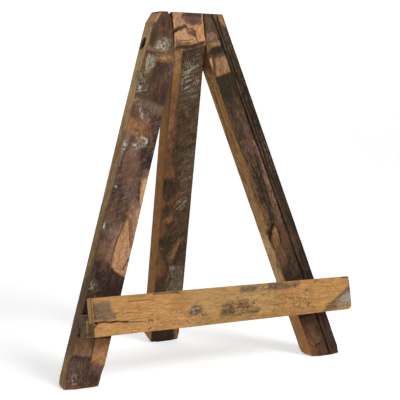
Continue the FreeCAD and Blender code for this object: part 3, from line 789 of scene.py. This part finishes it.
def rear_leg():
    """The saw-marked rear leg, with its freshly sawn head."""
    b = Board("rear_leg", seed=37)
    b.wear_edges(0.25, 0.8, [(-20, 0, 13, 3.2), (20, 0, 12, 2.6), (-20.7, 432, 6, 1.6)])
    b.flare(low=1.1)
    b.swell_head(392, 0.7)
    bare_wood(b, "gold", "amber", 0.9)
    # painted shade: the left side darker at the top, in the gap beside the left leg
    b.patch("umber", "-3 470, 26 470, 26 330, -3 290", 10, 5, 0.85, "low")
    b.scuffs("umber", "-2 400, 24 400, 24 30, -2 30", 0.35, 1.3, "low", stretch=9)
    b.scuffs("amber", "2 330, 20 330, 20 60, 2 60", 0.5, 1.4, "low", stretch=9)
    b.patch("rust", "-3 300, 8 280, 6 180, -3 170", 4, 3, 0.6, "low")
    b.patch("gold", "-3 400, 26 400, 26 52, -3 52", 4, 3, 0.7, "low")
    b.patch("umber", "-3 400, 3 400, 2 40, -3 40", 1.5, 1.5, 0.35, "low")
    old_paint(b, ["dark", "moss", "umber"], "front", 0.38, 0.64, (6.0, 12.0))
    old_paint(b, ["dark", "umber", "slate", "brown"], "back", 0.4, 0.64, (6.0, 24.0))
    old_paint(b, ["umber", "dark", "ochre"], "high", 0.4, 0.62, (5.0, 34.0))

    # the head, sawn flush with the front legs
    b.patch("tan", "-24 394, 24 399, 24 450, -24 450", 0.8, 0.3)
    b.patch("honey", "4 421, 20 421, 20 402, 10 400", 5, 2, 0.5)
    b.patch("pink_tan", "-20 434, -8 432, -8 422, -20 420", 4, 2, 0.6)
    b.patch("plum", "-10 433, 19 434, 19 424, 8 421, -3 423, -9 428", 2.2, 1.2, 0.95)
    b.patch("dark", "-8 441, 20 441, 20 431, 4 431, -7 432", 1.6, 1, 0.9)
    b.patch("maroon", "0 428, 16 428, 14 423, 2 422", 2.2, 1.2, 0.6)
    b.line("-2 424.5, 4 422.6, 9 422", 0.7, 0.2, "rust", 0.4)
    # painted highlight: a light streak on a slight ridge along the head's right arris
    b.line("19.6 436, 19.9 424, 20.2 408", 0.8, -0.1, "honey", 0.2)
    b.line("-22 412.2, -15.5 416, -9 418, -4.4 420", 2.3, 0.5, "rust", 1.6, taper=False)
    b.line("-22 412.6, -15.5 416.4, -9 418.4, -4.4 420", 1.5, 0.9, "umber", 1.2, taper=False)
    b.line("-20 413, -14 416", 0.8, 0.5, "soot", 0.5, taper=False)
    b.line("-5 420, -2.4 417, 0 414, 4 411, 8.4 407.6, 10.4 401", 0.8, 0.5, "umber", 0.6)
    b.patch("rust", "-4 418, 5 418, 9.6 414, 8 407, 1 409, -3 411", 1.8, 1.2, 0.85)
    b.patch("maroon", "4 415, 9 413, 8 408, 5 409", 1.4, 0.8, 0.8)
    # painted highlight: a small light speck in the nail hole
    b.line("-0.2 415.8, 0.8 414.2", 1.1, -0.15, "pale", 0.4)
    b.line("-16 402.6, -3 403, 6 405", 0.6, 0.3, "rust", 0.4)
    b.line("-14 400.4, 0 401, 8 403.4", 0.45, 0.25, "rust", 0.4)
    b.line("-12 398.6, -2 399, 4 400.6", 0.4, 0.2, "rust", 0.4)
    b.line("-13 426, -11 424.6, -10 426", 0.4, 0.2, "rust", 0.2)
    b.patch("plum", "-20 405, -15 402, -9 398, 6 399.6, 12 402, 8 397, -14 393, -20 395", 1.8, 0.8, 0.95)
    b.patch("dark", "-19 395.4, -6 397, 6 399, 20 404, 20 399.6, 6 395, -6 393, -18 392", 1, 0.5)
    b.line("-19 391.4, -6 392, 6 394, 16 397.4", 0.5, -0.15, "grey", 0.3)

    # the main face: a bare edge, a scraped dark face, and a reddish edge
    b.patch("dark", "-10 391, 20 397, 20 376, -10 376", 1.6, 1, 0.9)
    b.patch("ochre", "-24 391, -10.4 391, -9.6 360, -10 344, -13 318, -18 306, -24 300", 1.2, 0.8)
    b.patch("orange_tan", "-24 391, -12 391, -13 362, -24 350", 3, 1, 0.8)
    b.patch("slate", "-8 374, 15 378, 16 318, -8 318", 4, 1.6, 0.55)
    b.patch("moss", "-8 330, 12 330, 14 314, -10 312", 4, 1.6, 0.6)
    b.patch("rust", "16.4 380, 23 380, 23 340, 17 342", 1.6, 1.2, 0.7)
    b.patch("rust", "15 326, 23 330, 23 300, 17 302", 2, 1.4, 0.8)
    saw_strokes(b, "-9 380, 16 392, 17 330, 8 314, -9 316", "grey", 0.6)
    saw_strokes(b, "-9 366, 16 376, 17 344, -8 338", "pale", 0.35)
    b.scuffs("pale", "-6 376, 8 376, 8 370, -6 370", 0.5, 0.8, soft=1.5)
    b.patch("rust", "-24 338, -12 342, -10 312, -10 290, -24 290", 4, 2, 0.5)
    b.patch("umber", "-20 300, -9 306, -8 290, -12 262, -20 262", 3, 1.6, 0.6)
    b.patch("rust", "-23 318, -12 316, -8 294, -13 264, -23 260", 2.6, 1.6, 0.85)
    b.patch("orange_tan", "-21 316, -14 312, -14 286, -21 280", 3, 1.6, 0.45)
    b.patch("orange_tan", "1 313, 6 314, 7 307, 2 308", 1.6, 1, 0.6)
    b.patch("slate", "8 312, 17 314, 18 286, 10 288", 3, 1.6, 0.6)
    b.patch("umber", "-7 306, 8 304, 8 274, -7 272", 4, 2, 0.7)
    b.patch("rust", "7 279, 11 284, 14 282, 13 274, 8 270", 1.8, 1.2, 0.7)
    b.line("-18 276, -15 268, -13 260", 0.8, 0.3, "ochre", 0.6)
    b.patch("ochre", "-21 208, -17.4 206, -16.6 190, -21 184", 1, 0.6, 0.8)
    b.line("-18.6 226, -19.6 216, -18.4 206", 1.3, 1, "soot", 0.9)
    b.patch("rust", "-23 262, -13 260, -8 242, -4.6 229, -23 227", 1.6, 1.2, 0.95)
    b.patch("brown", "-20 258, -15 257, -9 240, -7 231, -14 232", 2.4, 1.2, 0.6)
    b.patch("umber", "-6 264, 4 264, 5 210, -3 222", 3, 1.6, 0.7)
    b.patch("dark", "-22 226, -2 227, 4 214, 0 202, -20 199", 2.2, 1.4, 0.8)
    b.patch("slate", "5 262, 20 266, 21 206, 4 206", 3, 1.6, 0.7)
    saw_strokes(b, "4 262, 20 268, 20 204, 4 206", "grey", 0.5, 3, 0.3)
    saw_strokes(b, "1 202, 10 206, 15 198, 9 184, 0 184", "pale", 0.9, 3.2, 0.9)
    b.patch("rust", "-22 196, -16 194, -4 202, 3 213, 4 204, -2 196, -12 190, -22 186", 1.6, 1.2, 0.9)
    b.patch("dark", "-18 192, -6 194, -4 184, -14 178, -19 180", 2, 1.2, 0.85)
    b.patch("brown", "-20 172, -10 178, -3 190, 0 190, -2 172, -8 167, -16 166", 1.8, 1.2, 0.9)
    b.patch("orange_tan", "-15 172, -4 179, -3 171, -8 167", 2, 1, 0.7)
    b.patch("rust", "-23 186, -18 184, -19 168, -12 160, -14 150, -23 146", 2.2, 1.4, 0.75)
    b.patch("moss", "-4 178, 20 184, 20 148, -6 146", 4, 2, 0.7)
    saw_strokes(b, "2 172, 16 178, 16 150, 2 148", "umber", 0.6, 3, 0.35)
    b.patch("dark", "-14 150, 6 152, -2 134, -12 128", 3, 1.6, 0.6)
    b.patch("brown", "-9 122, -3 132, 4 142, 14 147, 7 130, -1 110, -5 114", 1.4, 0.8, 0.95)
    b.patch("orange_tan", "-2 116, -1 126, 5 138, 14 147, 8 134, 2 118", 1.6, 0.6, 0.8)
    b.patch("rust", "-23 132, -17 128, -10 112, -8 94, -23 90", 2.6, 1.4, 0.9)
    b.patch("ochre", "-20 128, -15 124, -15 98, -20 96", 2.6, 1.2, 0.4)
    b.patch("dark", "8 138, 21 150, 21 110, 8 110", 3, 1.6, 0.8)
    b.patch("slate", "-6 88, -2 106, 18 108, 21 60, -8 60", 2.4, 1.6, 0.9)
    b.patch("dark", "-23 92, -8 92, -6 74, -23 70", 2.6, 1.6, 0.8)
    b.scuffs("grey", "-2 106, 18 106, 19 70, -2 72", 0.6, 1.2, slant=-0.4)
    b.scuffs("pale", "-2 107, 4 108, 4 101, -1 102", 0.9, 0.9, soft=1)
    b.line("-3 101, 1 92, -2 82, -8 73", 0.8, 0.4, "soot", 0.9)
    b.patch("black", "-24 60, 24 60, 24 -8, -24 -8", 4, 1.5, 0.85)
    b.patch("umber", "-20 24, 12 24, 12 4, -20 4", 4, 2, 0.15)
    b.patch("orange_tan", "12 17, 23 18, 23 1, 15 1", 2, 1.2, 0.75)

    saw_strokes(b, "-8 388, 22 394, 22 110, -8 110", "soot", 0.36, 2.2, 0.55)
    saw_strokes(b, "0 300, 22 300, 22 110, -4 110", "drab", 0.12, 2, 0.55)
    saw_strokes(b, "-22 300, 0 300, 0 110, -22 110", "dark", 0.25, 2.2, 0.75)
    specks(b, "grey", 0.4, "front")
    worn_arrises(b, "brown", 0.35)
    end_grain(b, "brown")
    mottled(b, 0.10, 0.40)
    b.unevenness(0.12, 0.06)
    return b.finish(wood_material("weathered_wood", 0.5, 0.85), "rear_leg")


def ledge_lip():
    """The honey-coloured planed board, measured from its left end and its bottom edge."""
    b = Board("ledge_lip", seed=53, ground=False)
    b.wear_edges(0.25, 1.0, [(0, 339, 7, 3.4), (41, 339, 4, 0.8)])
    bare_wood(b, "straw", "honey", 0.8)
    b.patch("honey", "-3 -5, 46 -5, 46 100, -3 112", 14, 4, 0.5)
    b.patch("gold", "22 100, 46 100, 46 250, 20 250", 9, 4, 0.35)
    b.patch("olive", "6 118, 44 112, 44 236, 8 230", 9, 5, 0.45)
    b.patch("orange_tan", "-3 120, 9 130, 9 290, -3 300", 4, 3, 0.4)

    b.patch("ochre", "-5 112, 48 108, 48 350, -5 350", 16, 5, 0.14)

    # fine wavy grain
    waves = fractal(b.grain(1.3, 9), 507, 4, 0.65) + 0.35 * fractal(b.grain(0.6, 3), 509, 3)
    b.colour *= (1 + 0.75 * (waves - 0.675))[:, None]

    # stains and worn paint
    b.patch("mauve", "17 3, 38 3, 39 20, 28 22, 24 28, 17 26", 1.6, 1, 0.75)
    b.patch("slate", "17 2, 34 2, 30 10, 22 14, 17 18", 3, 1.4, 0.75)
    b.scuffs("grey", "18 4, 37 4, 37 18, 20 24", 0.5, 1.2, soft=2.5)
    b.patch("straw", "14 -2, 44 -2, 44 2.6, 14 2.4", 0.8, 0.8, 0.9)
    b.patch("slate", "13 116, 20 116, 24 122, 23 131, 17 132, 13 124", 2.2, 1.6, 0.85)
    b.scuffs("pale", "15 119, 21 119, 23 128, 17 128", 0.75, 0.9, soft=1.8)
    b.scuffs("dark", "10 130, 15 130, 15 139, 10 139", 0.65, 0.9, soft=1.6)
    b.patch("brown", "8 154, 24 158, 25 172, 14 178, 7 172", 3.2, 2.2, 0.6)
    b.patch("dark", "10 156, 15 156, 16 172, 10 174", 2.4, 1.6, 0.4)
    b.scuffs("grey", "9 158, 22 160, 22 174, 9 174", 0.4, 1.1)
    b.patch("slate", "9 176, 13 178, 13 208, 9 206", 1.8, 1.4, 0.8)
    b.patch("brown", "15 180, 27 180, 26 194, 15 196", 3.4, 2, 0.65)
    b.scuffs("grey", "15 180, 28 182, 26 196, 15 198", 0.45, 1.2, stretch=1)
    b.patch("mauve", "34 184, 41 184, 41 208, 35 206", 2.2, 1.6, 0.8)
    b.patch("mauve", "33 222, 41 222, 41 268, 36 262", 2.4, 1.8, 0.8)
    b.patch("brown", "34 230, 40 232, 38 256, 34 250", 2.2, 1.6, 0.6)
    b.patch("slate", "2 296, 4 314, 9 343, 36 343, 29 334, 19 318, 10 304", 1.6, 1.2, 0.85)
    b.patch("grey", "6 312, 9 343, 30 343, 24 332, 14 318", 3, 1.6, 0.8)
    b.patch("brown", "2 296, 5 314, 14 314, 9 302", 2.2, 1.4, 0.7)
    b.scuffs("pale", "6 318, 10 343, 27 343, 20 326, 12 316", 0.75, 0.7, soft=2.5, slant=-0.5, stretch=1.2)
    b.scuffs("chalk", "9 326, 10 343, 24 343, 18 328", 0.4, 0.6, soft=2.5, slant=-0.5, stretch=1.2)
    b.patch("slate", "24 336, 36 340, 36 344, 22 344", 2.2, 1.2, 0.7)

    # the split at the left end, dark pores and marks
    b.scuffs("moss", "9 156, 24 160, 24 206, 9 206", 0.6, 1)
    b.scuffs("moss", "14 118, 23 118, 23 131, 14 131", 0.5, 0.8)
    b.scuffs("moss", "34 186, 41 186, 41 266, 34 262", 0.45, 0.9)
    b.line("15.8 -2, 15.4 6, 16 12, 14.8 20, 15 29, 13.8 40", 0.75, 2.2, "black", 0.6, taper=False)
    b.line("15.6 5, 12.6 2, 9 -1", 0.9, 0.8, "soot", 0.5)
    b.line("39 2.2, 32 1.6, 24 2, 17 1.4", 0.6, 0.5, "umber", 0.8)
    b.scuffs("umber", "16 0, 40 0, 40 3, 16 3", 0.6, 0.6, soft=0.6)
    b.line("13.8 39, 12.6 50, 11.8 64", 0.45, 0.4, "brown", 0.6)
    b.line("24 24, 23.6 44, 21 60", 0.4, 0.2, "brown", 0.8)
    b.line("36 38, 36 60, 35 78", 0.4, 0.2, "brown", 0.8)
    b.line("10 65, 12.6 64.8, 15 66", 0.7, 0.3, "brown", 0.4)
    b.line("9.6 69, 12.6 69.6, 14 69", 0.7, 0.3, "brown", 0.4)
    b.line("10 274.6, 14 274.4", 0.7, 0.3, "umber", 0.5)
    b.line("3 64, 4.5 67", 0.9, 0.3, "brown", 0.2, taper=False)
    b.line("0.5 320, 1.5 327", 1.3, 0.8, "black", 0.5, taper=False)
    for up, start in places("30 275, 20 272, 11 262, 12 256, 29 215, 22 253, 38 288, 9 268"):
        curl = [(up - 1.6, start - 2.2), (up + 0.9, start - 0.4), (up + 0.2, start + 2.4)]
        b.line(curl, 0.6, 0.35, "brown", 0.5)
    pores = fractal(b.grain(0.9, 2.2), 501, 3, 0.6)
    crowd = ramp(fractal(b.grain(9, 34), 503, 3), 0.42, 0.60)
    b.paint("brown", 0.8 * ramp(pores, 0.64, 0.74) * (0.2 + 0.8 * crowd))
    wormy = ramp(within(b.a, b.l, places("7 222, 27 222, 30 280, 7 286")), -4, 5) * b.toward["front"]
    b.paint("brown", 0.75 * wormy * ramp(fractal(b.grain(1.4, 1.8), 505, 3, 0.6), 0.56, 0.68))
    # short golden grain lines, at fixed random places
    for i in range(30):
        height = 2 + 39 * float(lattice(i, 1, 0, 5))
        start = 340 * float(lattice(i, 2, 0, 5))
        length = 8 + 30 * float(lattice(i, 3, 0, 5))
        rise = 1.2 * float(lattice(i, 4, 0, 5)) - 0.6
        b.line([(height, start), (height + rise, start + length)], 0.25, 0.15, "gold", 0.6)
    for start, end in ((70, 108), (222, 246), (288, 292), (326, 342)):
        b.line([(41.6, start), (41.2, end)], 0.8, 0.3, "umber", 0.4)
    b.paint("brown", 0.7 * b.toward["front"] * ramp(b.a, 1.1, 0.2))

    end_grain(b, "sand", "brown")
    b.paint("soot", b.toward["ends"] * ramp(abs(b.d - 3.4), 1.2, 0.5) * ramp(b.a, 13, 16))
    b.paint("moss", 0.9 * b.toward["ends"] * ramp(b.a, 15.5, 14.5))
    worn_arrises(b, "straw", 0.5)
    mottled(b, 0.12, 0.16)
    b.unevenness(0.10, 0.05, 0.8)
    b.chip((1.5, 0, 324), (1.6, 2, 3.4), 1.2)
    b.chip((30, 0, 0), (9, 2.4, 3.0), 0.9)
    b.chip((21, 0, 0), (4, 2.4, 2.6), 0.8)
    b.chip((40, 0, 0), (3, 2.4, 2.6), 0.7)
    return b.finish(wood_material("honey_planed_wood", 0.5, 0.35), "front_frame")


def ledge_shelf():
    """The square strip behind the lip: rough, with grey scuffs along it and dark ends."""
    b = Board("ledge_shelf", seed=67, ground=False)
    b.wear_edges(0.7, 2.4)
    bare_wood(b, "drab", "olive", 0.8)
    b.patch("straw", "30 -5, 30 345, -5 345, -5 -5", 3, 2, 0.35, "high")
    end_grain(b, "moss", "soot")
    for face in ("front", "back", "high", "low"):
        b.scuffs("grey", "-5 -5, 35 -5, 35 350, -5 350", 0.25, 1.5, face)
    worn_arrises(b, "sand", 0.7)
    mottled(b, 0.14, 0.3)
    b.unevenness(0.14, 0.08)
    return b.finish(wood_material("aged_strip_wood", 0.5, 0.7), "front_frame")


# ---------------------------------------------------------------- materials

def add_node(tree, kind, settings=(), **inputs):
    """A new shader node with these settings and inputs, which are values or other sockets."""
    made = tree.nodes.new("ShaderNode" + kind)
    for name, value in dict(settings).items():
        setattr(made, name, value)
    for name, value in inputs.items():
        connect(tree, made, name.replace("_", " "), value)
    return made


def connect(tree, made, name, value):
    """Sets an input of a node, or links it where the value is another node's socket."""
    if isinstance(value, bpy.types.NodeSocket):
        tree.links.new(value, made.inputs[name])
    else:
        made.inputs[name].default_value = value


def new_material(name):
    """A material, its node tree and its main shader."""
    material = bpy.data.materials.new(name + "_look")
    material.use_nodes = True
    return material, material.node_tree, material.node_tree.nodes["Principled BSDF"]


def calculated(tree, operation, first, second):
    """One number from two, by this operation."""
    made = add_node(tree, "Math", {"operation": operation})
    for place, value in enumerate((first, second)):
        connect(tree, made, place, value)
    return made.outputs[0]


def grain_noise(tree, scale, stretch, detail, roughness):
    """Noise drawn out along the board, for a scale in cells per metre across it."""
    board = add_node(tree, "Attribute", {"attribute_name": "board"}).outputs["Vector"]
    fitted = add_node(tree, "Mapping", Vector=board, Scale=(scale, scale, scale / stretch))
    spread = {"Scale": 1.0, "Detail": detail, "Roughness": roughness}
    return add_node(tree, "TexNoise", Vector=fitted.outputs["Vector"], **spread).outputs["Fac"]


def ranged(tree, value, low, high, to_low, to_high):
    """A number moved from one range to another."""
    ends = {"From_Min": low, "From_Max": high, "To_Min": to_low, "To_Max": to_high}
    return add_node(tree, "MapRange", Value=value, **ends).outputs["Result"]


def add_bump(tree, shader, height, strength, distance):
    """Fine relief from a height, this deep in metres."""
    bump = add_node(tree, "Bump", Height=height, Strength=strength, Distance=distance)
    connect(tree, shader, "Normal", bump.outputs["Normal"])


def wood_material(name, fibre, grit):
    """Old wood: the painted tone, with fibres, pores and grit in its colour, gloss and relief."""
    material, tree, shader = new_material(name)
    tone = add_node(tree, "Attribute", {"attribute_name": "tone"}).outputs["Color"]
    fibres = grain_noise(tree, 1500, 30, 5, 0.65)
    pores = grain_noise(tree, 900, 9, 3, 0.6)
    dust = grain_noise(tree, 700, 1.5, 6, 0.7)

    shade = ranged(tree, fibres, 0.3, 0.7, 1 - 0.30 * fibre, 1 + 0.24 * fibre)
    pore_shade = ranged(tree, pores, 0.60, 0.70, 1.0, 1 - 0.45 * fibre)
    dust_shade = ranged(tree, dust, 0.3, 0.7, 1 - 0.34 * grit, 1 + 0.36 * grit)
    shade = calculated(tree, "MULTIPLY", shade, pore_shade)
    shade = calculated(tree, "MULTIPLY", shade, dust_shade)
    tint = add_node(tree, "VectorMath", {"operation": "SCALE"}, Scale=shade)
    connect(tree, tint, 0, tone)
    connect(tree, shader, "Base Color", tint.outputs[0])
    connect(tree, shader, "Roughness", ranged(tree, dust, 0.35, 0.7, 0.62, 0.88))
    connect(tree, shader, "Specular IOR Level", 0.12)

    height = calculated(tree, "MULTIPLY", fibres, 0.6)
    height = calculated(tree, "SUBTRACT", height, ranged(tree, pores, 0.58, 0.70, 0.0, 0.5))
    height = calculated(tree, "ADD", height, calculated(tree, "MULTIPLY", dust, 0.5 * grit))
    add_bump(tree, shader, height, strength=0.7, distance=0.35 * MM)
    return material


def metal_material(name, colour, tarnish, rough, metallic):
    """Hardware: plated or rusted metal, or fibre, with blotches of tarnish."""
    material, tree, shader = new_material(name)
    place = add_node(tree, "TexCoord").outputs["Object"]
    blotches = add_node(tree, "TexNoise", Vector=place, Scale=420.0, Detail=6.0).outputs["Fac"]
    blend = add_node(tree, "ValToRGB", Fac=blotches)
    for stop, position, shade in zip(blend.color_ramp.elements, (0.35, 0.62), (tarnish, colour)):
        stop.position = position
        stop.color = (*linear(shade), 1)
    connect(tree, shader, "Base Color", blend.outputs["Color"])
    connect(tree, shader, "Roughness", ranged(tree, blotches, 0.3, 0.7, rough + 0.2, rough))
    connect(tree, shader, "Metallic", metallic)
    add_bump(tree, shader, blotches, strength=0.4, distance=0.1 * MM)
    return material


# ---- colour, tarnish, roughness and how metallic, for each slot of hardware
HARDWARE = {
    "zinc_steel": ("grey", "slate", 0.35, 1.0),
    "screw_steel": ("ochre", "umber", 0.4, 1.0),
    "rusted_iron": ("orange_tan", "umber", 0.6, 0.3),
    "washer_fibre": ("soot", "black", 0.7, 0.0),
}


def finish_hardware():
    """Gives each CAD piece that is shown as it is the material of its slot."""
    slots = {part["node"]: part["material_slot"] for part in frame["record"]["subparts"]}
    looks = {slot: metal_material(slot, *values) for slot, values in HARDWARE.items()}
    for name, piece in frame["nodes"].items():
        if slots[name] in looks:
            for holder in piece.material_slots:
                holder.material = looks[slots[name]]


# ---------------------------------------------------------------- stage, lights and camera

EASEL_MIDDLE = Vector((0, 0, 0.2))
CAMERA_TARGET = Vector((-0.0160, -0.0754, 0.2053))
CAMERA_YAW, CAMERA_PITCH = math.radians(26.57), math.radians(5.25)
CAMERA_DISTANCE = 1.0893
CAMERA_LENS = 84.24
FLOOR_SIDE = 3.0
WALL_RADIUS = 0.6
WALL_STEPS = 12
FLOOR_WHITE = (0.93, 0.93, 0.93, 1)
FLOOR_GLOW = 0.45
DAYLIGHT = 0.3
WHITE = (1, 1, 1, 1)


def floor():
    """A pale sweep: floor, a quarter-round rise and a wall behind."""
    mesh = bpy.data.meshes.new("floor")
    sheet = bmesh.new()
    foot = FLOOR_SIDE - WALL_RADIUS
    profile = [(-FLOOR_SIDE, 0.0), (foot, 0.0)]
    for i in range(1, WALL_STEPS + 1):
        turn = math.radians(90 / WALL_STEPS * i)
        profile.append((foot + WALL_RADIUS * math.sin(turn), WALL_RADIUS * (1 - math.cos(turn))))
    profile.append((FLOOR_SIDE, FLOOR_SIDE))
    rows = [[sheet.verts.new((x, y, z)) for x in (-FLOOR_SIDE * 2, FLOOR_SIDE * 2)] for y, z in profile]
    for low, high in zip(rows, rows[1:]):
        sheet.faces.new((low[0], low[1], high[1], high[0]))
    sheet.to_mesh(mesh)
    sheet.free()
    piece = bpy.data.objects.new("floor", mesh)
    bpy.context.scene.collection.objects.link(piece)
    mesh.materials.append(floor_material())


def floor_material():
    """Matt near-white, with a little light of its own so that it shows as white."""
    material, tree, shader = new_material("floor")
    place = add_node(tree, "TexCoord").outputs["Object"]
    clouds = add_node(tree, "TexNoise", Vector=place, Scale=3.0).outputs["Fac"]
    connect(tree, shader, "Roughness", ranged(tree, clouds, 0.3, 0.7, 0.85, 0.9))
    connect(tree, shader, "Base Color", FLOOR_WHITE)
    connect(tree, shader, "Specular IOR Level", 0.0)
    connect(tree, shader, "Emission Color", WHITE)
    connect(tree, shader, "Emission Strength", FLOOR_GLOW)
    return material


def area_light(name, place, size, power):
    """A round soft light this wide that faces the middle of the easel."""
    data = bpy.data.lights.new(name, "AREA")
    data.shape = "DISK"
    data.size = size
    data.energy = power
    lamp = bpy.data.objects.new(name, data)
    lamp.location = place
    aim = EASEL_MIDDLE - Vector(place)
    lamp.rotation_mode = "QUATERNION"
    lamp.rotation_quaternion = aim.to_track_quat("-Z", "Y")
    bpy.context.scene.collection.objects.link(lamp)


def studio():
    """Soft daylight from all round, a large key light in front and a weak fill at the left."""
    world = bpy.data.worlds.new("studio")
    bpy.context.scene.world = world
    world.use_nodes = True
    background = world.node_tree.nodes["Background"]
    background.inputs["Color"].default_value = WHITE
    background.inputs["Strength"].default_value = DAYLIGHT
    area_light("key", (0.7, -2.0, 1.5), size=1.2, power=42)
    area_light("fill", (-2.2, -1.0, 1.0), size=1.6, power=3)
    bpy.context.scene.view_settings.view_transform = "Standard"


def camera():
    """The camera, low and to the left of straight on."""
    data = bpy.data.cameras.new("camera")
    data.sensor_width = 36.0
    data.lens = CAMERA_LENS
    eye = bpy.data.objects.new("camera", data)
    level = math.cos(CAMERA_PITCH)
    ahead = Vector((math.sin(CAMERA_YAW) * level, math.cos(CAMERA_YAW) * level, -math.sin(CAMERA_PITCH)))
    eye.location = CAMERA_TARGET - ahead * CAMERA_DISTANCE
    eye.rotation_mode = "QUATERNION"
    eye.rotation_quaternion = ahead.to_track_quat("-Z", "Y")
    data.clip_start, data.clip_end = 0.05, 50
    bpy.context.scene.collection.objects.link(eye)
    bpy.context.scene.camera = eye


camera()
studio()
floor()
left_leg()
right_leg()
rear_leg()
ledge_lip()
ledge_shelf()
finish_hardware()
